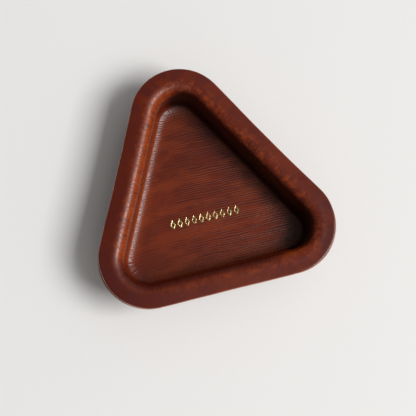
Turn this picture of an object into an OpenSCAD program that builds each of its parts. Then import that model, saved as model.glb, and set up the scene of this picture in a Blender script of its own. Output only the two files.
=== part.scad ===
// Catch-all tray moulded from two plies of vegetable-tanned leather, with three
// rounded corners, a rolled rim and a flange that ends in a burnished cut edge.
// Sizes are millimetres. +Z is up, +Y points to the back corner, and the origin lies
// on the underside, below the mean of the three corner centres.

/* [Plan] */
// Distance between the centres of the two front corners
front_span = 68; // [60:0.5:80]
// Distance between the centres of the front left and the back corner
left_span = 70; // [60:0.5:80]
// Distance between the centres of the front right and the back corner
right_span = 73; // [60:0.5:80]
// Radius of the cut edge round each corner
corner_r = 24; // [21:0.5:32]

/* [Section] */
// Height of the rim's crest above the underside
tray_h = 25; // [19:0.5:36]
// Width from the cut edge to the rim's crest
flange_w = 6.2; // [4:0.1:8]
// Radius of the rolled rim on its grain side
rim_r = 6.2; // [5:0.1:8]
// Angle at which the flange falls towards its cut edge
flange_fall = 4; // [1:0.5:10]
// Angle at which the wall leans outwards from the floor
wall_lean = 2; // [0:0.5:8]
// Radius of the bend between wall and floor along the sides, on its grain side
floor_bend_r = 5.25; // [3:0.25:7]
// How much the leather gathered in a corner adds to the radius of the floor's corner
corner_gather = 1; // [0.5:0.25:3]

/* [Leather] */
// Thickness of the upper ply, which shows its grain
grain_t = 1.7; // [1.2:0.1:2.2]
// Thickness of the lower ply
lining_t = 1.5; // [1:0.1:2]
// Thickness of the cement between the plies
cement_t = 0.1; // [0.1:0.05:0.3]
// Radius of the burnished corners of the cut edge
edge_round_r = 0.9; // [0.3:0.1:1.1]

/* [Gilt row] */
// Number of stamped lozenges in the row
gilt_count = 10; // [1:1:12]
// Distance from one lozenge to the next
gilt_pitch = 3.6; // [3.2:0.1:4]
// Width of a lozenge
lozenge_w = 2.9; // [2:0.1:3.1]
// Length of a lozenge, across the row
lozenge_l = 5.2; // [3:0.1:7]
// Width of the gilt line round a lozenge
gilt_line_w = 0.7; // [0.3:0.05:0.8]
// Depth to which the hot stamp sinks the grain
stamp_depth = 0.3; // [0.2:0.05:0.6]
// Thickness of the foil that the stamp leaves
foil_t = 0.1; // [0.05:0.01:0.15]
// Distance of the row in front of the origin
gilt_row_back = 6; // [0:0.5:14]
// Distance of the row's middle to the right of the origin
gilt_row_right = 0; // [-4:0.5:4]

/* [Hidden] */
corner_steps = 12;
gather_steps = 3;
bend_steps = 6;
rim_steps = 8;
edge_steps = 3;

// Depths below the grain side at which each layer ends
cement_top = grain_t;
lining_top = grain_t + cement_t;
leather_t = grain_t + cement_t + lining_t;

// Corner centres, counter-clockwise from the front left, about their own mean
back_x = (front_span ^ 2 + left_span ^ 2 - right_span ^ 2) / (2 * front_span);
back_y = sqrt(left_span ^ 2 - back_x ^ 2);
mean = [front_span + back_x, back_y] / 3;
corners = [[0, 0] - mean, [front_span, 0] - mean, [back_x, back_y] - mean];

// Direction of the side that runs from a corner to the next
function side_angle(i) =
    let (way = corners[(i + 1) % 3] - corners[i])
    atan2(way.y, way.x);

// Section, as [distance outwards from the line of corner centres, height]
floor_top = leather_t;
crest = [corner_r - flange_w, tray_h - rim_r];
flange_start = crest + rim_r * [sin(flange_fall), cos(flange_fall)];
flange_l = (corner_r - flange_start.x) / cos(flange_fall);

// Distance outwards at which the flat floor ends along the sides, and how much each unit of the
// bend's radius takes from it
wall_top = crest - rim_r * [cos(wall_lean), -sin(wall_lean)];
wall_foot = wall_top.x - (wall_top.y - floor_top) * tan(wall_lean);
floor_per_bend = cos(wall_lean) - (1 - sin(wall_lean)) * tan(wall_lean);
side_floor = wall_foot - floor_bend_r * floor_per_bend;
floor_corner_r = side_floor + corner_gather;

// Where the section stands at a point of the plan, as [point, direction outwards, radius of its bend].
// The flat floor ends there on an arc round a centre.
function station(point, direction, centre) =
    let (from_centre = point - centre)
    let (along = from_centre * [cos(direction), sin(direction)])
    let (floor_end = sqrt(floor_corner_r ^ 2 - from_centre * from_centre + along ^ 2) - along)
    [point, direction, (wall_foot - floor_end) / floor_per_bend];

// All the places of the section as it goes round the plan, from corner to corner
stations = [
    for (i = [0:2])
        let (way_in = side_angle((i + 2) % 3), way_out = side_angle(i))
        let (turn = (way_out - way_in + 360) % 360)
        let (middle = way_in - 90 + turn / 2)
        let (centre = corners[i] - corner_gather / cos(turn / 2) * [cos(middle), sin(middle)])
        let (reach = corner_gather * tan(turn / 2) / gather_steps)
        each concat(
            [for (step = [gather_steps:-1:1])
                station(corners[i] - step * reach * [cos(way_in), sin(way_in)], way_in - 90, centre)],
            [for (step = [0:corner_steps])
                station(corners[i], way_in - 90 + turn * step / corner_steps, centre)],
            [for (step = [1:gather_steps])
                station(corners[i] + step * reach * [cos(way_out), sin(way_out)], way_out - 90, centre)]
        )
];

// Points along an arc, both ends included
function arc(centre, radius, from, to, steps) = [
    for (step = [0:steps])
        let (angle = from + (to - from) * step / steps)
        centre + radius * [cos(angle), sin(angle)]
];

// The line that lies a given depth below the grain side, from the floor to the flange
function line_at(depth, bend_r) =
    let (bend = [wall_foot - bend_r * floor_per_bend, floor_top + bend_r])
    concat(
        arc(bend, bend_r + depth, 270, 360 - wall_lean, bend_steps),
        arc(crest, rim_r - depth, 180 - wall_lean, 90, rim_steps),
        [flange_start - depth * [sin(flange_fall), cos(flange_fall)]]
    );

// Point of the cut edge at a given depth, with both corners rounded by burnishing
function edge_point(depth) =
    let (into_round = edge_round_r - min(depth, leather_t - depth))
    let (inset = edge_round_r - sqrt(edge_round_r ^ 2 - max(into_round, 0) ^ 2))
    flange_start
        + (flange_l - inset) * [cos(flange_fall), -sin(flange_fall)]
        - depth * [sin(flange_fall), cos(flange_fall)];

// The cut edge between two depths, with more points where it is round
function edge_line(near, far) =
    let (round_depths = [for (step = [0:edge_steps]) edge_round_r * (1 - cos(90 * step / edge_steps))])
    let (depths = concat(round_depths, [for (step = [edge_steps:-1:0]) leather_t - round_depths[step]]))
    [
        for (depth = concat([near], [for (depth = depths) if (depth > near && depth < far) depth], [far]))
            edge_point(depth)
    ];

// A list in the opposite order
function backwards(list) = [for (i = [len(list) - 1:-1:0]) list[i]];

// A whole moulded layer between two depths below the grain side
module moulded_layer(near, far) {
    sections = [
        for (station = stations)
            concat(line_at(near, station[2]), edge_line(near, far), backwards(line_at(far, station[2])))
    ];
    n = len(sections[0]);
    turns = len(stations);
    points = [
        for (i = [0:turns - 1], point = sections[i])
            let (out = stations[i][0] + point.x * [cos(stations[i][1]), sin(stations[i][1])])
            [out.x, out.y, point.y]
    ];
    skin = [
        for (i = [0:turns - 1], j = [0:n - 2])
            let (here = i * n + j, next = ((i + 1) % turns) * n + j)
            each [[here, next, here + 1], [next, next + 1, here + 1]]
    ];
    floor_top_face = [for (i = [turns - 1:-1:0]) i * n];
    floor_underside = [for (i = [0:turns - 1]) i * n + n - 1];
    polyhedron(points, concat(skin, [floor_top_face, floor_underside]), convexity = 4);
}

// The outline of one lozenge, drawn as a line of even width
module lozenge() {
    half = [lozenge_w, lozenge_l] / 2;
    edge_distance = half.x * half.y / norm(half);
    tips = [[half.x, 0], [0, half.y], [-half.x, 0], [0, -half.y]];
    difference() {
        polygon(tips);
        polygon(tips * (1 - gilt_line_w / edge_distance));
    }
}

// The row of lozenges from the bottom of the stamped sinking up to a height
module stamped_row(height) {
    row_l = gilt_pitch * (gilt_count - 1);
    for (i = [0:gilt_count - 1])
        translate([gilt_row_right - row_l / 2 + i * gilt_pitch, -gilt_row_back, floor_top - stamp_depth])
            linear_extrude(height)
                lozenge();
}

module grain_ply() {
    color("saddlebrown")
        difference() {
            moulded_layer(0, cement_top);
            stamped_row(2 * stamp_depth);
        }
}

module cement_film() {
    color("peru")
        moulded_layer(cement_top, lining_top);
}

module lining_ply() {
    color("sienna")
        moulded_layer(lining_top, leather_t);
}

module gilt_lozenges() {
    color("gold")
        stamped_row(foil_t);
}

grain_ply();
cement_film();
lining_ply();
gilt_lozenges();
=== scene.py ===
"""Catch-all tray of moulded leather: the looks, modelled round the packed frame.

Every length is in metres and every place is in the frame of the packed model: +Z up, +Y towards the back
corner, and the origin on the underside. The moulded plies, the cement between them and the gilt row are
modelled anew at the frame's own sizes, with the small unevenness that a hand-moulded shell has.
"""

import math

import bmesh
import bpy
from bpy.props import FloatProperty, FloatVectorProperty, IntProperty, PointerProperty
from mathutils import Matrix, Vector, noise


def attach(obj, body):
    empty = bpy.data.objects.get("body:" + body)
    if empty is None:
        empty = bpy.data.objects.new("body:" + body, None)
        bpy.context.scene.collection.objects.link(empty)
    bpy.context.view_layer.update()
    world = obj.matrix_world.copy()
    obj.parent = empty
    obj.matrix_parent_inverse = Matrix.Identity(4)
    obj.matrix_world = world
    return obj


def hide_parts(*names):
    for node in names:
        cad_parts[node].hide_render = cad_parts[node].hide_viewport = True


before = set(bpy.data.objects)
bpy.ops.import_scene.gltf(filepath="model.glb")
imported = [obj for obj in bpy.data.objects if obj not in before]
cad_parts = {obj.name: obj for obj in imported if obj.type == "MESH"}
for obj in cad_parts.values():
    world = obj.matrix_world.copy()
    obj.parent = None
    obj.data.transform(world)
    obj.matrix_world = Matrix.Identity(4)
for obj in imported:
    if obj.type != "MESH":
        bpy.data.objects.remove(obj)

bl_info = {
    "name": "Moulded Leather Tray",
    "version": (1, 0, 0),
    "blender": (4, 5, 0),
    "location": "View3D > Sidebar > Leather Tray",
    "description": "Builds a three-cornered catch-all tray of moulded leather, one piece at a time",
    "category": "Add Mesh",
}

MM = 0.001
TURN = 2 * math.pi
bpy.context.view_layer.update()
UP = Vector((0.0, 0.0, 1.0))

# Corners and sides are counted counter-clockwise, from the front left corner and the front side
RIGHT_CORNER = 1
LEFT_SIDE = 2


def linear(code):
    """Turns an sRGB hex value such as "8a4b2f" into the linear colour that Blender works in."""
    shares = [int(code[at:at + 2], 16) / 255 for at in (0, 2, 4)]
    return tuple(c / 12.92 if c <= 0.04045 else ((c + 0.055) / 1.055) ** 2.4 for c in shares)


def length(name, description, default, lowest=0.0):
    """A size in metres, shown as a distance."""
    return FloatProperty(name=name, description=description, default=default, min=lowest,
                         unit="LENGTH", subtype="DISTANCE", precision=5)


def strength(name, description, default, **more):
    """How strong a light is."""
    return FloatProperty(name=name, description=description, default=default, min=0.0, **more)


def angle(name, description, degrees):
    """An angle, written in degrees."""
    return FloatProperty(name=name, description=description, default=math.radians(degrees), subtype="ANGLE")


def colour(name, description, code):
    """A colour, written as an sRGB hex value."""
    return FloatVectorProperty(name=name, description=description, default=linear(code),
                               subtype="COLOR", size=3, min=0.0, max=1.0)


class TraySizes(bpy.types.PropertyGroup):
    """Sizes of the moulded shell: those of the packed model, then those of its unevenness."""

    front_span: length("Front span", "Distance between the centres of the two front corners", 68 * MM)
    left_span: length("Left span", "From the front left corner's centre to the back corner's", 70 * MM)
    right_span: length("Right span", "From the front right corner's centre to the back corner's", 73 * MM)
    corner_radius: length("Corner radius", "Radius of the cut edge round each corner", 24 * MM)
    height: length("Height", "Height of the rim's crest above the underside", 25 * MM)
    flange_width: length("Flange width", "Width from the cut edge to the rim's crest", 6.2 * MM)
    rim_radius: length("Rim radius", "Radius of the rolled rim on its grain side", 6.2 * MM)
    flange_fall: angle("Flange fall", "Angle at which the flange falls towards its cut edge", 4)
    wall_lean: angle("Wall lean", "Angle at which the wall leans outwards from the floor", 2)
    bend_radius: length("Floor bend radius", "Radius between wall and floor on the grain side", 5.25 * MM)
    corner_gather: length("Corner gather", "What gathered leather adds to the floor's corners", 1 * MM)
    grain_thickness: length("Grain ply", "Thickness of the upper ply", 1.7 * MM)
    cement_thickness: length("Cement", "Thickness of the cement between the plies", 0.1 * MM)
    lining_thickness: length("Lining ply", "Thickness of the lower ply", 1.5 * MM)
    edge_round: length("Edge rounding", "Radius of the burnished corners of the cut edge", 0.9 * MM)
    cement_recess: length("Cement recess", "How far the cement stays behind the cut edge", 0.12 * MM)
    right_hollow: length("Right hollow", "How far the flange's right side is drawn in", 0.45 * MM)
    left_hollow: length("Left hollow", "How far the flange's left side is drawn in", 0.25 * MM)
    gather_height: length("Gather height", "Height of the gathers in the corners' floor bend", 0.12 * MM)
    flange_wave: length("Flange wave", "How far the flange rises and falls along its run", 0.2 * MM)
    flange_lift: length("Flange lift", "How far the cut edge stands higher at the right corner", 0.38 * MM)
    dish_radius: length("Dish radius", "Radius at which the floor's border first curls up", 10 * MM)
    dish_turn: angle("Dish turn", "Angle to which the border curls before the tighter bend", 20)
    roll_set: length("Roll set", "How far the upper part of the roll has settled inwards", 0.45 * MM)
    crease_height: length("Crease height", "Height of the crease between the left roll and wall", 0.4 * MM)
    edge_step: length("Edge step", "How far the upper ply's edge stands back at the corners", 0.8 * MM)
    floor_margin: length("Floor margin", "Width of the floor's strip beside the bend", 3 * MM)


class GiltSizes(bpy.types.PropertyGroup):
    """Sizes of the stamped gilt row on the floor."""

    count: IntProperty(name="Lozenges", description="Number of lozenges in the row", default=10, min=1)
    pitch: length("Pitch", "Distance from one lozenge to the next", 3.6 * MM)
    width: length("Width", "Width of a lozenge along the row", 2.9 * MM)
    height: length("Length", "Length of a lozenge across the row", 5.2 * MM)
    line: length("Line", "Width of the gilt line round a lozenge", 0.7 * MM)
    sink: length("Stamp depth", "Depth to which the hot stamp sinks the grain", 0.3 * MM)
    foil: length("Foil", "Thickness of the foil that the stamp leaves", 0.1 * MM)
    curl: length("Curl", "How far the foil climbs the sides of its groove", 0.17 * MM)
    forward: length("Forward", "Distance of the row in front of the origin", 6 * MM)
    right: length("Right", "Distance of the row's middle to the right of the origin", 0 * MM)


class LeatherColours(bpy.types.PropertyGroup):
    """Colours of the dyed leather, its edge, the cement and the gilt."""

    dye: colour("Dye", "Red-brown of the dyed grain side", "6c240b")
    # Deep dye also stands in for shade: it is painted as shade on the front roll's inner half and on the
    # flange's left side
    deep_dye_and_shade: colour("Deep dye", "Where the dye lies thick or the slicker burnished it", "420e05")
    # Thin dye is also painted light: on the sides that face the window it lightens the roll and the bend
    thin_dye_and_light: colour("Thin dye", "Where the stretched grain on the rim took less dye", "8e3a12")
    # Painted shade: the near-black laid on the wall and bend where they are turned from the window
    painted_shade_dark: colour("Pooled dye", "Nearly black red where the wet dye stood in the bend", "1b0502")
    dye_cool: colour("Cool dye", "Purple-brown of the corners, where the hide was compressed", "4d1a17")
    edge_tan: colour("Edge", "Burnished cut edge, where the undyed core shows through", "c48a70")
    flesh: colour("Flesh side", "Slicked and dyed flesh side under the tray", "5e2c1d")
    cement: colour("Cement", "Dried contact cement", "2a120a")
    gilt: colour("Gilt", "Hot-stamped foil", "cfbd88")
    cloth: colour("Cloth", "Pale cloth that the tray stands on", "efedeb")
    cloth_shade: colour("Cloth shade", "Faint shade between the cloth's threads", "bcbcbc")


class StageSettings(bpy.types.PropertyGroup):
    """Where the camera and the window stand, as the photograph shows."""

    camera_distance: length("Camera distance", "From the camera to the middle of the view", 500 * MM)
    camera_tilt: angle("Camera tilt", "How far the camera leans from straight above", 9.77)
    camera_side: angle("Camera side", "Side from which the leaning camera looks, in the view", -118.05)
    view_turn: angle("View turn", "How far the front side is turned in the view", 14.2)
    view_width: length("View width", "Width of the table that the view takes in", 207.66 * MM)
    view_right: length("View right", "Middle of the view, to the right of the origin", 3.11 * MM, lowest=-1)
    view_up: length("View up", "Middle of the view, above the origin", -0.53 * MM, lowest=-1)
    window_height: angle("Window height", "Angle of the window's middle above the table", 52)
    window_side: angle("Window side", "Side on which the window stands, in the view", -13)
    window_distance: length("Window distance", "From the tray to the window", 3200 * MM)
    window_width: length("Window width", "Width of the window", 1700 * MM)
    window_rise: length("Window rise", "Height of the window", 1520 * MM)
    window_power: strength("Window power", "Light from the window", 92.0, unit="POWER")
    room_near: strength("Room, near", "Strength of the room's light beside the window", 0.44)
    room_far: strength("Room, far", "Strength of the room's light away from the window", 0.16)


# Plan and section of the shell

# Lengths that are taken for nothing: for a direction, and for a height
NO_DISTANCE = 1e-9
NO_HEIGHT = 0.001 * MM


def corner_centres(sizes):
    """Centres of the corners, counter-clockwise from the front left, about their own mean."""
    a, b, c = sizes.front_span, sizes.left_span, sizes.right_span
    x = (a * a + b * b - c * c) / (2 * a)
    y = math.sqrt(b * b - x * x)
    mean = Vector((a + x, y, 0)) / 3
    return [Vector((0, 0, 0)) - mean, Vector((a, 0, 0)) - mean, Vector((x, y, 0)) - mean]


class Plan:
    """The run of the shell round its three corners and along its three sides."""

    def __init__(self, sizes):
        self.corners = corner_centres(sizes)
        self.crest_run = sizes.corner_radius - sizes.flange_width
        self.ways = [self.corners[(i + 1) % 3] - self.corners[i] for i in range(3)]
        headings = [math.atan2(way.y, way.x) for way in self.ways]
        self.starts = [headings[i - 1] - math.pi / 2 for i in range(3)]
        self.turns = [(headings[i] - headings[i - 1]) % TURN for i in range(3)]
        self.corner_runs = []
        self.side_runs = []
        run = 0.0
        for turn, way in zip(self.turns, self.ways):
            self.corner_runs.append(run)
            run += turn * self.crest_run
            self.side_runs.append(run)
            run += way.length
        self.run = run
        self.gather = sizes.corner_gather
        middles = [start + turn / 2 for start, turn in zip(self.starts, self.turns)]
        self.gather_centres = [
            corner - Vector((math.cos(middle), math.sin(middle), 0)) * (self.gather / math.cos(turn / 2))
            for corner, middle, turn in zip(self.corners, middles, self.turns)]

    def floor_end(self, base, out, side_floor):
        """Distance outwards of the flat floor's end, at a corner on an arc round the gather's centre."""
        for corner, centre, turn in zip(self.corners, self.gather_centres, self.turns):
            if (base - corner).length <= self.gather * math.tan(turn / 2):
                from_centre = base - centre
                along = from_centre.dot(out)
                reach = side_floor + self.gather
                return math.sqrt(reach ** 2 - from_centre.length_squared + along ** 2) - along
        return side_floor

    def place(self, co):
        """Distance out of the line of corner centres, direction outwards, run at the crest, side and share.

        The share is how far along the side the point stands. At a corner the side is the one after it, and
        the share is how far round the corner the point stands, as a number from 0 to -1.
        """
        best = None
        for i, way in enumerate(self.ways):
            from_corner = Vector((co.x, co.y, 0)) - self.corners[i]
            share = min(max(from_corner.dot(way) / way.length_squared, 0.0), 1.0)
            off = from_corner - way * share
            if best is None or off.length < best[0]:
                best = (off.length, i, share, off)
        distance, side, share, off = best
        out = Vector((self.ways[side].y, -self.ways[side].x, 0)).normalized()
        if 0.0 < share < 1.0:
            inwards = off.dot(out) < 0
            run = self.side_runs[side] + share * self.ways[side].length
            return (-distance if inwards else distance), out, run, side, share
        corner = side if share == 0.0 else (side + 1) % 3
        if distance > NO_DISTANCE:
            out = off.normalized()
        turned = (math.atan2(out.y, out.x) - self.starts[corner] + math.pi) % TURN - math.pi
        run = self.corner_runs[corner] + min(max(turned, 0.0), self.turns[corner]) * self.crest_run
        return distance, out, run, corner, -turned / self.turns[corner]


class Section:
    """The shell's section, as distances out of the line of corner centres and heights."""

    def __init__(self, sizes):
        self.sizes = sizes
        self.thickness = sizes.grain_thickness + sizes.cement_thickness + sizes.lining_thickness
        lean, fall = sizes.wall_lean, sizes.flange_fall
        self.crest = Vector((sizes.corner_radius - sizes.flange_width, sizes.height - sizes.rim_radius))
        self.flange_out = Vector((math.cos(fall), -math.sin(fall)))
        self.flange_up = Vector((math.sin(fall), math.cos(fall)))
        self.wall_in = Vector((-math.cos(lean), math.sin(lean)))
        self.wall_up = Vector((math.sin(lean), math.cos(lean)))
        self.roll_turn = math.pi / 2 - lean + fall
        self.bend_turn = math.pi / 2 - lean
        self.flange_start = self.crest + self.flange_up * sizes.rim_radius
        self.flange_length = (sizes.corner_radius - self.flange_start.x) / math.cos(fall)
        self.wall_top = self.crest + self.wall_in * sizes.rim_radius
        foot_height = self.thickness + sizes.bend_radius * (1 - math.sin(lean))
        self.wall_length = (self.wall_top.y - foot_height) / math.cos(lean)
        self.bend = self.wall_top - self.wall_up * self.wall_length + self.wall_in * sizes.bend_radius
        self.roll_ends = self.flange_length + sizes.rim_radius * self.roll_turn
        self.bend_starts = self.roll_ends + self.wall_length
        self.bend_length = sizes.bend_radius * self.bend_turn

    def foot(self, depth):
        """Where wall and floor would meet without the bend, a given depth below the grain side."""
        on_wall = self.crest + self.wall_in * (self.sizes.rim_radius - depth)
        return on_wall + self.wall_up * ((self.thickness - depth - on_wall.y) / self.wall_up.y)

    def sharp_line(self, depth):
        """Corners of the line a given depth below the grain side, before they are rounded."""
        sizes = self.sizes
        floor = self.thickness - depth
        foot = self.foot(depth)
        top = self.crest + (self.flange_up + self.flange_out * -math.tan(self.roll_turn / 2)) * (
            sizes.rim_radius - depth)
        end = self.flange_start + self.flange_out * self.flange_length - self.flange_up * depth
        return [Vector((self.bend.x - sizes.floor_margin, floor)), foot, top, end]

    def across(self, x, z):
        """Distance along the grain side from the cut edge, depth below it, and its normal there."""
        sizes = self.sizes
        point = Vector((x, z))
        from_crest = point - self.crest
        rolled = math.atan2(-from_crest.x, from_crest.y) + sizes.flange_fall
        if rolled <= 0 and from_crest.y > 0 or x > self.crest.x and from_crest.y < 0:
            from_start = point - self.flange_start
            from_edge = self.flange_length - from_start.dot(self.flange_out)
            return from_edge, -from_start.dot(self.flange_up), self.flange_up
        if 0 < rolled <= self.roll_turn:
            over = self.flange_length + sizes.rim_radius * rolled
            return over, sizes.rim_radius - from_crest.length, from_crest.normalized()
        down = (self.wall_top - point).dot(self.wall_up)
        if down <= self.wall_length:
            return self.roll_ends + down, (self.wall_top - point).dot(self.wall_in), self.wall_in
        from_bend = point - self.bend
        if from_bend.x > 0:
            bent = math.atan2(-from_bend.y, from_bend.x) - sizes.wall_lean
            below = from_bend.length - sizes.bend_radius
            return self.bend_starts + sizes.bend_radius * bent, below, -from_bend.normalized()
        floor_starts = self.bend_starts + self.bend_length
        return floor_starts - from_bend.x, self.thickness - z, Vector((0.0, 1.0))


# Modelling helpers

# How finely the section is swept and its cut edge rounded, and where vertices merge and edges look sharp
CORNER_STEPS = 110
SIDE_STEPS = 60
EDGE_SEGMENTS = 8
MERGED_WITHIN = 0.01 * MM
SHARP_FROM = math.radians(35)


def smooth_step(low, high, value):
    """0 below low, 1 above high, and a smooth rise between them."""
    share = min(max((value - low) / (high - low), 0.0), 1.0)
    return share * share * (3 - 2 * share)


def hump(middle, half_width, value):
    """1 at the middle and a smooth fall to 0 at half_width on either side."""
    return smooth_step(half_width, 0.0, abs(value - middle))


def round_corner(bm, vert, radius, turn, segments):
    """Rounds one corner of a wire with an arc that touches both its edges."""
    bmesh.ops.bevel(bm, geom=[vert], offset=radius * math.tan(turn / 2), offset_type="OFFSET",
                    segments=segments, profile=0.5, affect="VERTICES", material=-1)


def cut_straights(bm, spacing):
    """Cuts each long edge of a wire into even steps that are shorter than the spacing."""
    for edge in [e for e in bm.edges if e.calc_length() > spacing * 1.5]:
        bmesh.ops.subdivide_edges(bm, edges=[edge], cuts=int(edge.calc_length() / spacing))


def sweep_round(bm, plan):
    """Carries the wire in bm round the three corners and along the three sides, and closes the ring."""
    moving = bm.verts[:] + bm.edges[:]
    for corner, way, turn in zip(plan.corners, plan.ways, plan.turns):
        moving = bmesh.ops.spin(bm, geom=moving, cent=corner, axis=UP, angle=turn,
                                steps=CORNER_STEPS, use_duplicate=False)["geom_last"]
        moving = bmesh.ops.spin(bm, geom=moving, cent=corner, axis=UP, angle=0.0, dvec=way / SIDE_STEPS,
                                steps=SIDE_STEPS, use_duplicate=False)["geom_last"]
    bmesh.ops.remove_doubles(bm, verts=bm.verts, dist=MERGED_WITHIN)


def open_edges_at(edges, height):
    """Those of the edges that lie at one height and have a face on one side only."""
    return [e for e in edges
            if len(e.link_faces) < 2 and all(abs(v.co.z - height) < NO_HEIGHT for v in e.verts)]


def of_kind(kind, geometry):
    """The elements of one kind among those that an operator gives back."""
    return [element for element in geometry if isinstance(element, kind)]


def lozenge_loops(bm, gilt, height, shares):
    """Draws each lozenge's outlines at a height, one for each share of its line's width from the outside.

    Returns the edges of each outline, lozenge by lozenge.
    """
    half = Vector((gilt.width / 2, gilt.height / 2))
    inset = gilt.line / (half.x * half.y / half.length)
    first = gilt.right - gilt.pitch * (gilt.count - 1) / 2
    lozenges = []
    for i in range(gilt.count):
        loops = []
        for share in shares:
            size = half * (1 - inset * share)
            place = Matrix.Translation((first + i * gilt.pitch, -gilt.forward, height))
            made = bmesh.ops.create_circle(bm, cap_ends=False, segments=4, radius=1.0,
                                           matrix=place @ Matrix.Diagonal((size.x, size.y, 1, 1)))
            loops.append(list(dict.fromkeys(e for v in made["verts"] for e in v.link_edges)))
        lozenges.append(loops)
    return lozenges


def add_object(name, data):
    """Adds an object that shows a mesh, light or camera."""
    made = bpy.data.objects.new(name, data)
    bpy.context.collection.objects.link(made)
    return made


def add_mesh(name, bm, material):
    """Turns a bmesh into an object with one material."""
    mesh = bpy.data.meshes.new(name)
    bm.to_mesh(mesh)
    bm.free()
    mesh.materials.append(material)
    return add_object(name, mesh)


def mesh_piece(name, bm, material):
    """Turns a bmesh into a piece of the tray that rides on its body."""
    bmesh.ops.recalc_face_normals(bm, faces=bm.faces)
    piece = add_mesh(name, bm, material)
    piece.data.shade_smooth()
    piece.data.set_sharp_from_angle(angle=SHARP_FROM)
    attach(piece, "root")
    return piece


# Unevenness that moulding by hand leaves

# The cut edge wanders, and is drawn in so that it stays inside the packed size
EDGE_WANDER = 0.18 * MM
EDGE_WANDER_PERIOD = 17 * MM
EDGE_DRAWN_IN = 0.16 * MM

# Share of a side's hollow that the shell has. The rest is trimmed off the flange
HOLLOW_PULLED = 0.35

# Where past the crest the roll settled most, and how far that reaches
ROLL_SET_AT = 2.4 * MM
ROLL_SET_REACH = 5 * MM

# How much of the edge step each corner shows, and how far from the cut edge it reaches
STEP_SHOWN = (1.0, 0.9, 0.2)
STEP_PERIOD = 9 * MM
STEP_REACH = 3 * MM

# The wave only dips, so that the crest stays inside the packed height
WAVE_PERIOD = 26 * MM
WAVE_DIP = 0.8
LIFT_REACH = 42 * MM

# Share of the floor's margin that moves with the bend
MARGIN_MOVED = 0.9

# Gathers: how much each corner shows, where round it they are highest, and their sizes
GATHERS_SHOWN = (1.0, 0.25, 0.7)
GATHERS_MIDDLE = (0.3, 0.5, 0.6)
GATHERS_REACH = 0.62
GATHER_WIDTH = 1.1 * MM
BROAD_GATHER_WIDTH = 2.6 * MM
GATHER_LENGTH = 5 * MM
GATHER_SLANT = 0.35 / MM

RING_SPACING = 2.1 * MM
RING_HEIGHT = 0.07 * MM

# Where along the left side the crease is, as shares of it, and how it wanders
CREASE_MIDDLE = 0.36
CREASE_REACH = 0.4
CREASE_WANDER = 0.35 * MM
CREASE_PERIOD = 8 * MM

# How much painted shade the wall and bend get along each side, front, right and left, and where round each
# corner that changes: most on the right, whose inner face is turned from the window
SHADE_PAINTED = (0.15, 1.0, 0.05)
SHADE_CHANGES = (0.5, 0.12, 0.55)

# Depth down to which a vertex counts as one of the grain side
GRAIN_SIDE = 0.02 * MM


def wandering(*place):
    """Smooth noise around 0, at a place in periods. Plain numbers in it only set one use apart."""
    return noise.noise(Vector(place))


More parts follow.
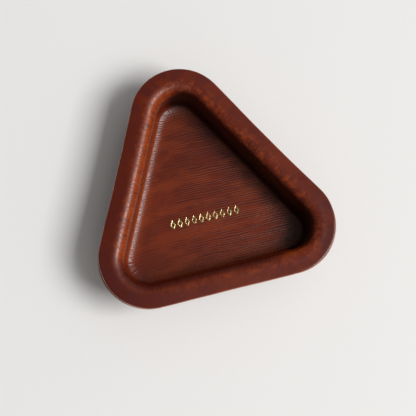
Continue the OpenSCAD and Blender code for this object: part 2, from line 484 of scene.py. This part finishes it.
class Moulding:
    """Moves a point of the even shell to where the hand-moulded one has it."""

    def __init__(self, sizes, plan, section, near):
        self.sizes = sizes
        self.plan = plan
        self.section = section
        self.is_upper = near == 0
        self.hollows = (0.0, sizes.right_hollow, sizes.left_hollow)
        self.bend_middle = section.bend_starts + section.bend_length / 2
        self.right_corner = plan.corner_runs[RIGHT_CORNER] + plan.turns[RIGHT_CORNER] * plan.crest_run / 2
        dish = math.sin(sizes.dish_turn)
        end = math.sin(section.bend_turn)
        self.tight_radius = (sizes.bend_radius * end - sizes.dish_radius * dish) / (end - dish)

    def plan_shift(self, run, side, share, across):
        """How far outwards the shell lies here, most of it at the cut edge."""
        hollow = self.hollows[side] * math.sin(math.pi * share) ** 2 if share > 0 else 0.0
        wander = EDGE_WANDER * wandering(run / EDGE_WANDER_PERIOD, 3.1, 0.7)
        edge = smooth_step(self.section.bend_starts, 0.0, across)
        trim = smooth_step(self.sizes.flange_width, 0.0, across)
        hollow_here = hollow * (HOLLOW_PULLED * edge + (1 - HOLLOW_PULLED) * trim)
        shift = (wander - EDGE_DRAWN_IN) * edge - hollow_here
        shift -= self.sizes.roll_set * hump(self.sizes.flange_width + ROLL_SET_AT, ROLL_SET_REACH, across)
        if self.is_upper and share <= 0:
            uneven = 0.7 + 0.5 * wandering(run / STEP_PERIOD, 1.9, 4.4)
            shown = STEP_SHOWN[side] * uneven * hump(0.5, 0.6, -share)
            shift -= self.sizes.edge_step * shown * smooth_step(STEP_REACH, 0.0, across)
        return shift

    def lift(self, run, across):
        """How far the flange rises or dips here."""
        wave = self.sizes.flange_wave * (wandering(run / WAVE_PERIOD, 8.4, 2.2) - WAVE_DIP)
        lifted = self.sizes.flange_lift * hump(self.right_corner, LIFT_REACH, run)
        from_wall = smooth_step(self.section.roll_ends, 0.0, across)
        from_crest = smooth_step(self.sizes.flange_width, 0.0, across)
        return wave * from_wall + lifted * from_crest

    def dished(self, angle):
        """Point of the bend at an angle, from the floor's end: a wide curl first, then a tight one."""
        first = min(angle, self.sizes.dish_turn)
        wide, tight = self.sizes.dish_radius, self.tight_radius
        return Vector((wide * math.sin(first) + tight * (math.sin(angle) - math.sin(first)),
                       wide * (1 - math.cos(first)) + tight * (math.cos(first) - math.cos(angle))))

    def reshape_bend(self, x, z):
        """How far a point of the even bend or wall moves when the bend is dished."""
        from_bend = Vector((x, z)) - self.section.bend
        turn = self.section.bend_turn
        radius = self.sizes.bend_radius
        if from_bend.x <= 0:
            return Vector((0.0, 0.0))
        angle = min(math.atan2(from_bend.x, -from_bend.y), turn)
        even = Vector((radius * math.sin(angle), radius * (1 - math.cos(angle))))
        fade = smooth_step(self.section.wall_top.y, self.section.bend.y, z)
        return (self.dished(angle) - even) * fade

    def grow_bend(self, co, distance, out, depth):
        """How far a point of the bend moves: the bend is dished, and wider where leather gathered."""
        foot = self.section.foot(depth)
        side_floor = self.section.bend.x
        ends = self.plan.floor_end(Vector((co.x, co.y, 0)) - out * distance, out, side_floor)
        wider = (side_floor - ends) / (self.section.foot(0.0).x - side_floor) * self.sizes.bend_radius
        radius = self.sizes.bend_radius + depth
        reshaped = self.reshape_bend(distance, co.z)
        from_foot = Vector((distance, co.z)) - foot
        bend_reach = radius * math.tan(self.section.bend_turn / 2)
        margin = MARGIN_MOVED * self.sizes.floor_margin
        share = smooth_step(bend_reach + margin, bend_reach, from_foot.length)
        moved = reshaped + (from_foot + reshaped) * (wider / radius * share)
        return out * moved.x + UP * moved.y

    def gathers(self, run, corner, share, across):
        """Height of the fine uneven gathers that run down a corner's bend."""
        strength_here = GATHERS_SHOWN[corner] * hump(GATHERS_MIDDLE[corner], GATHERS_REACH, -share)
        wander = wandering(run / (6 * MM), across / GATHER_LENGTH, 1.5)
        slant = GATHER_SLANT * across
        fine = wandering(run / GATHER_WIDTH + 0.9 * wander + slant, across / GATHER_LENGTH, 4.7)
        broad_run = run / BROAD_GATHER_WIDTH + 0.6 * wander + 0.4 * slant
        broad = wandering(broad_run, across / (1.8 * GATHER_LENGTH), 9.3)
        low = hump(self.bend_middle - 0.5 * MM, 6.5 * MM, across)
        high = 0.3 * hump(self.sizes.flange_width + 6 * MM, 5 * MM, across)
        return self.sizes.gather_height * strength_here * (1.2 * fine + broad) * (low + high)

    def rings(self, corner, share, across):
        """Height of the shallow rings that lie one above the other in the right corner's bend."""
        if corner != RIGHT_CORNER:
            return 0.0
        wave = RING_HEIGHT * math.sin(TURN * (across - self.section.bend_starts) / RING_SPACING)
        in_bend = hump(self.bend_middle, 0.6 * self.section.bend_length, across)
        return wave * hump(0.5, 0.5, -share) * in_bend

    def crease(self, run, share, across):
        """Height of the crease where the left wall leaves the roll, a groove with a lip below it."""
        wander = CREASE_WANDER * wandering(run / CREASE_PERIOD, 0.3, 6.1)
        at = across - self.section.roll_ends - wander
        lip = hump(1.3 * MM, 0.8 * MM, at)
        groove = hump(0.1 * MM, 0.9 * MM, at)
        return self.sizes.crease_height * hump(CREASE_MIDDLE, CREASE_REACH, share) * (lip - 0.5 * groove)

    def painted_shade(self, side, share):
        """How much painted shade the wall and bend get here: most on the right, whose inner face is turned
        from the window.
        """
        if share > 0:
            return SHADE_PAINTED[side]
        changed = smooth_step(SHADE_CHANGES[side] - 0.3, SHADE_CHANGES[side] + 0.25, -share)
        return SHADE_PAINTED[side - 1] + (SHADE_PAINTED[side] - SHADE_PAINTED[side - 1]) * changed

    def cornered(self, share):
        """How much the leather here has a corner's look: most at its middle, and less along the sides."""
        return hump(0.5, 0.8, -share) if share <= 0 else 0.3 * (1 - hump(0.5, 0.5, share))

    def relief(self, run, side, share, across):
        """Height of everything that stands out from the grain side here."""
        if share <= 0:
            return self.gathers(run, side, share, across) + self.rings(side, share, across)
        return self.crease(run, share, across) if side == LEFT_SIDE else 0.0

    def move(self, bm):
        """Stores where each vertex stands on the even shell, then moves it."""
        layers = bm.verts.layers
        run_layer = layers.float_vector.new("run")
        form_layer = layers.float_vector.new("form")
        painted_shade_layer = layers.float.new("painted_shade")
        wheel = self.plan.run / TURN
        for vert in bm.verts:
            distance, out, run, side, share = self.plan.place(vert.co)
            across, depth, normal = self.section.across(distance, vert.co.z)
            vert[run_layer] = Vector((wheel * math.cos(run / wheel), wheel * math.sin(run / wheel), across))
            vert[form_layer] = Vector((across, depth, self.cornered(share)))
            # How much painted shade the material lays on the wall and bend here
            vert[painted_shade_layer] = self.painted_shade(side, share)
            if distance < self.section.bend.x - self.sizes.floor_margin * MARGIN_MOVED:
                continue
            shift = out * self.plan_shift(run, side, share, across) + UP * self.lift(run, across)
            if across > self.section.roll_ends:
                shift += self.grow_bend(vert.co, distance, out, depth)
            if depth < GRAIN_SIDE:
                shift += (out * normal.x + UP * normal.y) * self.relief(run, side, share, across)
            vert.co += shift


def moulded_ply(sizes, near, far, spacing, rounds, gilt=None):
    """One layer of the shell between two depths, as a closed and moulded bmesh.

    rounds holds the segments of the roll and of the floor bend on the upper and on the lower side.
    """
    plan = Plan(sizes)
    section = Section(sizes)
    roll_segments, bend_segments, roll_below, bend_below = rounds
    bm = bmesh.new()
    upper = section.sharp_line(near)
    lower = section.sharp_line(far)
    start = Vector((math.cos(plan.starts[0]), math.sin(plan.starts[0]), 0))
    is_cement = near > 0 and far < section.thickness
    if is_cement:
        for line in (upper, lower):
            line[-1] = line[-1] - section.flange_out * sizes.cement_recess
    verts = [bm.verts.new(plan.corners[0] + start * p.x + UP * p.y) for p in upper + lower[::-1]]
    for a, b in zip(verts, verts[1:]):
        bm.edges.new((a, b))
    round_corner(bm, verts[1], sizes.bend_radius + near, section.bend_turn, bend_segments)
    round_corner(bm, verts[2], sizes.rim_radius - near, section.roll_turn, roll_segments)
    round_corner(bm, verts[5], sizes.rim_radius - far, section.roll_turn, roll_below)
    round_corner(bm, verts[6], sizes.bend_radius + far, section.bend_turn, bend_below)
    if near == 0:
        round_corner(bm, verts[3], sizes.edge_round, math.pi / 2, EDGE_SEGMENTS)
    if far == section.thickness:
        round_corner(bm, verts[4], sizes.edge_round, math.pi / 2, EDGE_SEGMENTS)
    cut_straights(bm, spacing)
    sweep_round(bm, plan)
    floor_edges = open_edges_at(bm.edges, section.thickness - near)
    underside_edges = open_edges_at(bm.edges, section.thickness - far)
    loops = [sum(pair, []) for pair in lozenge_loops(bm, gilt, section.thickness, (0, 1))] if gilt else []
    outlines = [edge for loop in loops for edge in loop]
    bmesh.ops.triangle_fill(bm, use_beauty=True, use_dissolve=False, edges=floor_edges + outlines)
    bmesh.ops.triangle_fill(bm, use_beauty=True, use_dissolve=False, edges=underside_edges)
    for loop in loops:
        sunk = bmesh.ops.extrude_edge_only(bm, edges=loop)["geom"]
        bmesh.ops.translate(bm, vec=-UP * gilt.sink, verts=of_kind(bmesh.types.BMVert, sunk))
        bottom = open_edges_at(of_kind(bmesh.types.BMEdge, sunk), section.thickness - gilt.sink)
        bmesh.ops.triangle_fill(bm, use_beauty=True, use_dissolve=False, edges=bottom)
    Moulding(sizes, plan, section, near).move(bm)
    return bm


# Materials


def add_node(tree, kind, settings=None, inputs=None):
    """Adds a node. An input is a plain value, or the output of another node that it is linked to."""
    made = tree.nodes.new(kind)
    for name, value in (settings or {}).items():
        setattr(made, name, value)
    for name, value in (inputs or {}).items():
        if isinstance(value, bpy.types.NodeSocket):
            tree.links.new(value, made.inputs[name])
        else:
            made.inputs[name].default_value = value
    return made


def product(tree, *factors):
    """All the factors multiplied, each a number or an output."""
    made = factors[0]
    for factor in factors[1:]:
        made = add_node(tree, "ShaderNodeMath", {"operation": "MULTIPLY"}, {0: made, 1: factor}).outputs[0]
    return made


def total(tree, *parts):
    """The sum of products, each given as (weight, output, ...)."""
    made = product(tree, *parts[0])
    for part in parts[1:]:
        inputs = {0: made, 1: product(tree, *part)}
        made = add_node(tree, "ShaderNodeMath", {"operation": "ADD"}, inputs).outputs[0]
    return made


def within(value, *marks):
    """A smooth rise from 0 at the first mark to 1 at the second, also downwards.

    Where a third and a fourth mark are given, it falls from 1 to 0 between them.
    """
    tree = value.id_data
    slopes = [marks[:2], marks[:1:-1]] if marks[2:] else [marks]
    shares = [add_node(tree, "ShaderNodeMapRange", {"interpolation_type": "SMOOTHSTEP"},
                       {"Value": value, "From Min": low, "From Max": high}).outputs[0]
              for low, high in slopes]
    return product(tree, *shares)


def zone(distance, *marks):
    """The same for a distance, with the marks in millimetres."""
    return within(distance, *(mark * MM for mark in marks))


def layered(tree, tone, *layers):
    """A colour with others laid over it, each given as (colour, share, ...) and shown by all its shares."""
    for colour_over, *shares in layers:
        inputs = {0: product(tree, *shares)}
        for socket, shown in ((6, tone), (7, colour_over)):
            inputs[socket] = shown if isinstance(shown, bpy.types.NodeSocket) else (*shown, 1.0)
        tone = add_node(tree, "ShaderNodeMix", {"data_type": "RGBA"}, inputs).outputs[2]
    return tone


def cloudy(vector, period, detail=2.0, roughness=0.5, stretch=(1, 1, 1), seed=(0, 0, 0)):
    """Noise that repeats about every period, in millimetres, stretched along its axes and moved by seed."""
    tree = vector.id_data
    scale = tuple(1 / (period * MM * share) for share in stretch)
    moved = add_node(tree, "ShaderNodeMapping", None,
                     {"Vector": vector, "Location": seed, "Scale": scale}).outputs[0]
    inputs = {"Vector": moved, "Scale": 1.0, "Detail": detail, "Roughness": roughness}
    return add_node(tree, "ShaderNodeTexNoise", None, inputs).outputs["Fac"]


def new_material(name, colour_shown):
    """A material, its node tree, and the object coordinates in that tree, which is otherwise empty."""
    material = bpy.data.materials.new(name)
    material.use_nodes = True
    material.diffuse_color = (*colour_shown, 1.0)
    tree = material.node_tree
    tree.nodes.clear()
    return material, tree, add_node(tree, "ShaderNodeTexCoord").outputs["Object"]


def finish_material(tree, sockets, bump=None):
    """Ends the tree with a Principled shader that has these numbers and outputs on its sockets.

    The bump is given as its strength, its depth and its relief.
    """
    if bump:
        inputs = dict(zip(("Strength", "Distance", "Height"), bump))
        sockets["Normal"] = add_node(tree, "ShaderNodeBump", None, inputs).outputs[0]
    shader = add_node(tree, "ShaderNodeBsdfPrincipled", None, sockets)
    add_node(tree, "ShaderNodeOutputMaterial", None, {"Surface": shader.outputs[0]})


def shell_place(tree):
    """The run round the rim, and the distance across, depth and corner's look."""
    run = add_node(tree, "ShaderNodeAttribute", {"attribute_name": "run"}).outputs["Vector"]
    form = add_node(tree, "ShaderNodeAttribute", {"attribute_name": "form"}).outputs["Vector"]
    return (run, *add_node(tree, "ShaderNodeSeparateXYZ", None, {0: form}).outputs)


def cut_edge_tone(run, colours):
    """The rubbed cut edge: tan, with stretches where the dye crept in."""
    crept = cloudy(run, 7, detail=4, roughness=0.6, stretch=(1, 1, 0.5))
    return layered(run.id_data, colours.edge_tan, (colours.thin_dye_and_light, within(crept, 0.35, 0.7), 0.7))


def grain_leather(colours):
    """Vegetable-tanned leather, moulded wet, dyed, waxed and slicked: deep red-brown with a soft polish."""
    material, tree, place = new_material("Dyed vegetable-tanned leather, grain side", colours.dye)
    run, across, depth, corner = shell_place(tree)
    # How much painted shade each vertex gets, as the moulding stored it
    painted_shade = add_node(tree, "ShaderNodeAttribute", {"attribute_name": "painted_shade"}).outputs["Fac"]
    # Where no painted shade is laid: the sides that face the window, which get painted light
    lit_share = total(tree, (1.0,), (-1.0, painted_shade))
    to_right, to_back, _ = add_node(tree, "ShaderNodeSeparateXYZ", None, {0: place}).outputs

    # Parts of the section, in millimetres along the grain side from the cut edge
    on_flange = zone(across, 9, 5.5)
    past_edge = zone(across, 3, 9)
    on_crest = zone(across, 3.5, 7, 10, 14)
    on_roll = zone(across, 5, 10, 15, 18)
    past_crest = zone(across, 7, 12)
    off_flats = zone(across, 6, 8, 32, 35)
    in_bend = zone(across, 22, 28, 33, 38)
    on_floor = zone(across, 29, 34)
    off_floor = total(tree, (1.0,), (-1.0, on_floor))

    # The dye took in broad clouds and smaller blotches, and in streaks that run over the roll
    clouds = cloudy(place, 22, detail=3, roughness=0.55)
    blotches = cloudy(place, 4.5, detail=4, roughness=0.65, seed=(3, 7, 1))
    streaks = cloudy(run, 0.9, detail=3, roughness=0.6, stretch=(1, 1, 8))

    # The stretched grain on the roll took less dye, which leaves it more orange. On the sides that face the
    # window, the roll and the bend are painted lighter still, which is painted light
    thin = total(tree, (0.6, on_roll), (0.6, on_roll, within(blotches, 0.4, 0.6)))
    mottle = cloudy(place, 3.2, detail=4, roughness=0.7, seed=(6, 2, 4))

    # Painted shade: the front roll's inner half is painted a deep red, and the wall and bend on the right
    # nearly black, where they are turned from the window
    painted_shade_roll = zone(across, 5.4, 9.5, 15, 19)
    at_front = product(tree, zone(to_back, -15, -25), zone(to_right, 40, 20))
    shade_across = total(tree, (1.0, across), (-9 * MM, lit_share))
    inner = product(tree, zone(shade_across, 7.5, 14), zone(across, 38, 31))

    # The flange is darker than the roll all round, and painted darker still on the left, turned from the
    # window, which is painted shade. It is cooler in patches at its corners
    flange_tone_and_shade = total(tree, (0.05, 1.0), (0.5, zone(to_right, -8, -34)))
    patches = cloudy(place, 12, detail=3, seed=(1, 4, 9))
    smudges = cloudy(place, 5, detail=5, roughness=0.7, seed=(9, 1, 7))

    # Fine straight grain lines run along the floor, parallel to the front side, broken here and there
    wander = cloudy(place, 5, detail=2, stretch=(4, 1, 1), seed=(2, 8, 5))
    phase = total(tree, (TURN / (1.15 * MM), to_back), (2.2 * TURN, wander))
    ridges = add_node(tree, "ShaderNodeMath", {"operation": "SINE"}, {0: phase}).outputs[0]
    broken = cloudy(place, 1.3, detail=3, stretch=(9, 1, 1))
    clearer_right = total(tree, (0.45, 1.0), (0.55, zone(to_right, -25, 8)))
    lined = product(tree, on_floor, clearer_right, within(broken, 0.37, 0.52))
    bands = cloudy(place, 6, detail=3, stretch=(3, 1, 1), seed=(2, 2, 2))

    # The layers of dye, with painted light and shade among them, from the ground up to the cut edge, which
    # is rubbed to a tan, smooth burnish
    tone = layered(
        tree, colours.dye,
        (colours.deep_dye_and_shade, within(clouds, 0.62, 0.36), 0.35),
        (colours.deep_dye_and_shade, within(blotches, 0.54, 0.72), 0.35),
        (colours.thin_dye_and_light, thin, lit_share),
        (colours.deep_dye_and_shade, within(streaks, 0.46, 0.68), off_floor, past_edge, 0.55),
        (colours.thin_dye_and_light, on_crest, within(mottle, 0.48, 0.62), 0.7),
        # Painted light: the bend is painted lighter on the sides that face the window, away from the
        # corners
        (colours.thin_dye_and_light, in_bend, lit_share, within(corner, 0.7, 0.25), 0.5),
        # Painted shade on the front roll's inner half, which is turned from the window
        (colours.deep_dye_and_shade, painted_shade_roll, at_front, 0.9),
        # Painted shade on the wall and bend, most on the right
        (colours.painted_shade_dark, inner, within(painted_shade, 0.1, 0.6), 0.92),
        # Painted shade on the flange's left side, over its darker tone all round
        (colours.deep_dye_and_shade, on_flange, flange_tone_and_shade),
        (colours.deep_dye_and_shade, on_floor, zone(to_back, 0, 26), 0.4),
        (colours.dye_cool, on_flange, within(patches, 0.36, 0.56), within(corner, 0, 0.7), 0.8),
        (colours.dye_cool, on_flange, within(smudges, 0.47, 0.6), 0.4),
        (colours.deep_dye_and_shade, within(ridges, 0.4, -0.7), lined, 0.8),
        (colours.thin_dye_and_light, within(ridges, 0.2, 1), lined, 0.3),
        (colours.thin_dye_and_light, within(bands, 0.45, 0.65), on_floor, 0.3),
        (cut_edge_tone(run, colours), zone(depth, 0.06, 0.32)))

    # Relief: the lines of roll and floor, and pores that are drawn as coarse as they need to be to show
    pores = cloudy(place, 0.5, detail=2, roughness=0.6)
    over_roll = cloudy(run, 0.7, detail=3, roughness=0.65, stretch=(1, 1, 7), seed=(4, 2, 0))
    relief = total(tree, (0.8, pores), (4.5, over_roll, off_floor, past_crest), (0.6, ridges, lined))

    # The wax is worn in patches, and is duller along the lines
    wear = cloudy(place, 5, detail=4, roughness=0.6, seed=(5, 5, 5))
    dull_lines = within(over_roll, 0.38, 0.68)
    roughness = total(tree, (1.0, 0.14), (0.12, wear), (0.3, dull_lines, off_flats), (0.06, lined))
    finish_material(tree, {"Base Color": tone, "Roughness": roughness, "Specular IOR Level": 0.35},
                    bump=(1.0, 0.05 * MM, relief))
    return material


def lining_leather(colours):
    """The same leather, flesh side out: slicked down with dye, so it is dull and faintly fibrous."""
    material, tree, place = new_material("Vegetable-tanned leather, flesh side", colours.flesh)
    run, across, depth, _ = shell_place(tree)
    fibres = cloudy(place, 0.7, detail=4, roughness=0.7)
    clouds = cloudy(place, 14, detail=4, roughness=0.6)
    drawn = cloudy(run, 1.4, detail=3, roughness=0.6, stretch=(1, 1, 9), seed=(3, 3, 0))
    tone = layered(
        tree, colours.flesh,
        (colours.deep_dye_and_shade, within(clouds, 0.35, 0.65)),
        (colours.deep_dye_and_shade, within(drawn, 0.45, 0.7), 0.35),
        (colours.edge_tan, within(fibres, 0.45, 0.7), 0.14),
        (cut_edge_tone(run, colours), zone(depth, 3.28, 3.1), zone(across, 2.2, 1.2)))
    relief = total(tree, (1.0, fibres), (1.5, drawn))
    finish_material(tree, {"Base Color": tone, "Roughness": 0.72}, bump=(0.7, 0.1 * MM, relief))
    return material


def dried_cement(colours):
    """Dried contact cement: a dark, slightly rubbery line between the plies."""
    material, tree, place = new_material("Dried contact cement", colours.cement)
    tone = layered(tree, colours.cement, (colours.deep_dye_and_shade, cloudy(place, 0.8, detail=3)))
    finish_material(tree, {"Base Color": tone, "Roughness": 0.55})
    return material


def gilt_foil(colours):
    """Hot-stamped foil: a thin bright metal that takes the leather's grain and is a little broken."""
    material, tree, place = new_material("Hot-stamped gilt foil", colours.gilt)
    worn = cloudy(place, 0.7, detail=3, roughness=0.6)
    tone = layered(tree, colours.gilt, (colours.deep_dye_and_shade, within(worn, 0.5, 0.7)))
    relief = cloudy(place, 0.6, detail=2, seed=(8, 1, 3))
    finish_material(tree, {"Base Color": tone, "Roughness": 0.3, "Metallic": 1.0},
                    bump=(1.0, 0.15 * MM, relief))
    return material


def pale_cloth(colours):
    """Plain off-white cotton, too fine for its weave to show, with the faintest slubs."""
    material, tree, place = new_material("Plain off-white cloth", colours.cloth)
    slubs = cloudy(place, 2, detail=2)
    tone = layered(tree, colours.cloth, (colours.cloth_shade, slubs, 0.04))
    finish_material(tree, {"Base Color": tone, "Roughness": 0.9})
    return material


# Operators, one for each piece and one for the stage

# Where the foil's outlines lie in the gilt line, as shares of its width, just off its sides
FOIL_LINES = (0.02, 0.5, 0.98)

# How far the cloth reaches to each side of the tray, in metres
CLOTH_REACH = 1.5

# Cosines of the angle from the window's side between which the room's light fades
ROOM_IS_DIM = -0.2
ROOM_IS_BRIGHT = 0.18


class TRAY_OT_grain_ply(bpy.types.Operator):
    """Build the upper ply, whose grain side is the floor, wall, rim and flange"""

    bl_idname = "tray.grain_ply"
    bl_label = "Grain Ply"

    def execute(self, context):
        sizes = context.scene.tray_sizes
        bm = moulded_ply(sizes, 0.0, sizes.grain_thickness, spacing=0.5 * MM, rounds=(30, 26, 8, 6),
                         gilt=context.scene.tray_gilt)
        piece = mesh_piece("grain_ply_leather", bm, grain_leather(context.scene.tray_colours))
        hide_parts("grain_ply")
        return {"FINISHED"}


class TRAY_OT_cement_film(bpy.types.Operator):
    """Build the film of cement between the plies, a dark line in the cut edge"""

    bl_idname = "tray.cement_film"
    bl_label = "Cement Film"

    def execute(self, context):
        sizes = context.scene.tray_sizes
        depth = sizes.grain_thickness
        below = depth + sizes.cement_thickness
        bm = moulded_ply(sizes, depth, below, spacing=1.5 * MM, rounds=(8, 6, 8, 6))
        piece = mesh_piece("cement_film_dried", bm, dried_cement(context.scene.tray_colours))
        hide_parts("cement_film")
        return {"FINISHED"}


class TRAY_OT_lining_ply(bpy.types.Operator):
    """Build the lower ply, whose flesh side is the tray's underside"""

    bl_idname = "tray.lining_ply"
    bl_label = "Lining Ply"

    def execute(self, context):
        sizes = context.scene.tray_sizes
        depth = sizes.grain_thickness + sizes.cement_thickness
        below = depth + sizes.lining_thickness
        bm = moulded_ply(sizes, depth, below, spacing=1 * MM, rounds=(8, 6, 12, 14))
        piece = mesh_piece("lining_ply_leather", bm, lining_leather(context.scene.tray_colours))
        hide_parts("lining_ply")
        return {"FINISHED"}


class TRAY_OT_gilt_row(bpy.types.Operator):
    """Build the row of gilt lozenges that the hot stamp leaves on the floor"""

    bl_idname = "tray.gilt_row"
    bl_label = "Gilt Row"

    def execute(self, context):
        gilt = context.scene.tray_gilt
        foil_top = Section(context.scene.tray_sizes).thickness - gilt.sink + gilt.foil
        bm = bmesh.new()
        for outer, groove, inner in lozenge_loops(bm, gilt, foil_top, FOIL_LINES):
            raised = {v for edge in outer + inner for v in edge.verts}
            bmesh.ops.translate(bm, vec=UP * gilt.curl, verts=list(raised))
            bmesh.ops.bridge_loops(bm, edges=outer + groove)
            bmesh.ops.bridge_loops(bm, edges=groove + inner)
            low = bmesh.ops.extrude_edge_only(bm, edges=outer + inner)["geom"]
            low_verts = of_kind(bmesh.types.BMVert, low)
            low_edges = [e for e in of_kind(bmesh.types.BMEdge, low) if len(e.link_faces) == 1]
            bmesh.ops.translate(bm, vec=-UP * (gilt.curl + gilt.foil), verts=low_verts)
            bmesh.ops.bridge_loops(bm, edges=low_edges)
        piece = mesh_piece("gilt_lozenge_row", bm, gilt_foil(context.scene.tray_colours))
        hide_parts("gilt_lozenges")
        return {"FINISHED"}


class TRAY_OT_stage(bpy.types.Operator):
    """Lay the pale cloth and place the window, the sky light and the camera"""

    bl_idname = "tray.stage"
    bl_label = "Stage"

    def execute(self, context):
        stage = context.scene.tray_stage
        lay_cloth(context.scene.tray_colours)
        hang_window(stage)
        light_sky(stage)
        place_camera(stage)
        context.scene.view_settings.view_transform = "Standard"
        return {"FINISHED"}


def lay_cloth(colours):
    """A wide flat sheet under the tray."""
    bm = bmesh.new()
    bmesh.ops.create_grid(bm, x_segments=8, y_segments=8, size=CLOTH_REACH)
    cloth = add_mesh("cloth_on_table", bm, pale_cloth(colours))


def direction(side, height):
    """Direction towards a side of the tray, at an angle above the table."""
    level = math.cos(height)
    return Vector((level * math.cos(side), level * math.sin(side), math.sin(height)))


def hang_window(stage):
    """A large soft window on the right of the view."""
    light = bpy.data.lights.new("window", "AREA")
    light.shape = "RECTANGLE"
    light.size = stage.window_width
    light.size_y = stage.window_rise
    light.energy = stage.window_power
    window = add_object("window", light)
    towards = direction(stage.window_side - stage.view_turn, stage.window_height)
    window.location = towards * stage.window_distance
    window.rotation_euler = towards.to_track_quat("Z", "Y").to_euler()


def light_sky(stage):
    """A soft room light, brighter on the window's side and fading smoothly to the other."""
    world = bpy.data.worlds.new("room")
    world.use_nodes = True
    tree = world.node_tree
    tree.nodes.clear()
    way = add_node(tree, "ShaderNodeTexCoord").outputs["Generated"]
    window_way = direction(stage.window_side - stage.view_turn, 0.0)
    towards = add_node(tree, "ShaderNodeVectorMath", {"operation": "DOT_PRODUCT"},
                       {0: way, 1: window_way}).outputs["Value"]
    level = add_node(tree, "ShaderNodeMapRange", {"interpolation_type": "SMOOTHSTEP"},
                     {"Value": towards, "From Min": ROOM_IS_DIM, "From Max": ROOM_IS_BRIGHT,
                      "To Min": stage.room_far, "To Max": stage.room_near}).outputs[0]
    room = add_node(tree, "ShaderNodeBackground", None, {"Color": (1, 1, 1, 1), "Strength": level})
    add_node(tree, "ShaderNodeOutputWorld", None, {"Surface": room.outputs[0]})
    bpy.context.scene.world = world


def place_camera(stage):
    """The camera nearly straight above, rolled so that the front side rises to the right in the view."""
    lens = bpy.data.cameras.new("camera")
    lens.sensor_fit = "HORIZONTAL"
    lens.lens = lens.sensor_width * stage.camera_distance / stage.view_width
    back = direction(stage.camera_side, math.pi / 2 - stage.camera_tilt)
    right = Vector((0, 1, 0)).cross(back).normalized()
    turn = Matrix([right, back.cross(right), back]).transposed()
    middle = Vector((stage.view_right, stage.view_up, 0))
    pose = Matrix.Translation(middle + back * stage.camera_distance) @ turn.to_4x4()
    camera = add_object("camera", lens)
    camera.matrix_world = Matrix.Rotation(-stage.view_turn, 4, "Z") @ pose
    bpy.context.scene.camera = camera


class TRAY_PT_panel(bpy.types.Panel):
    """Lists the tray's pieces and their sizes"""

    bl_idname = "TRAY_PT_panel"
    bl_label = "Leather Tray"
    bl_space_type = "VIEW_3D"
    bl_region_type = "UI"
    bl_category = "Leather Tray"

    def draw(self, context):
        for step in STEPS:
            self.layout.operator(step.bl_idname)
        for name in GROUPS:
            box = self.layout.box()
            box.label(text=GROUPS[name].__doc__)
            for field in GROUPS[name].__annotations__:
                box.prop(getattr(context.scene, name), field)


STEPS = (TRAY_OT_grain_ply, TRAY_OT_cement_film, TRAY_OT_lining_ply, TRAY_OT_gilt_row, TRAY_OT_stage)
GROUPS = {
    "tray_sizes": TraySizes,
    "tray_gilt": GiltSizes,
    "tray_colours": LeatherColours,
    "tray_stage": StageSettings,
}


def register():
    """Registers the classes and hangs the property groups on the scene."""
    for cls in (*GROUPS.values(), *STEPS, TRAY_PT_panel):
        bpy.utils.register_class(cls)
    for name, group in GROUPS.items():
        setattr(bpy.types.Scene, name, PointerProperty(type=group))


def unregister():
    """Undoes register, last things first."""
    for name in reversed(GROUPS):
        delattr(bpy.types.Scene, name)
    for cls in reversed((*GROUPS.values(), *STEPS, TRAY_PT_panel)):
        bpy.utils.unregister_class(cls)


def main():
    """Builds every piece and the stage."""
    register()
    bpy.ops.tray.grain_ply()
    bpy.ops.tray.cement_film()
    bpy.ops.tray.lining_ply()
    bpy.ops.tray.gilt_row()
    bpy.ops.tray.stage()


if __name__ == "__main__":
    main()
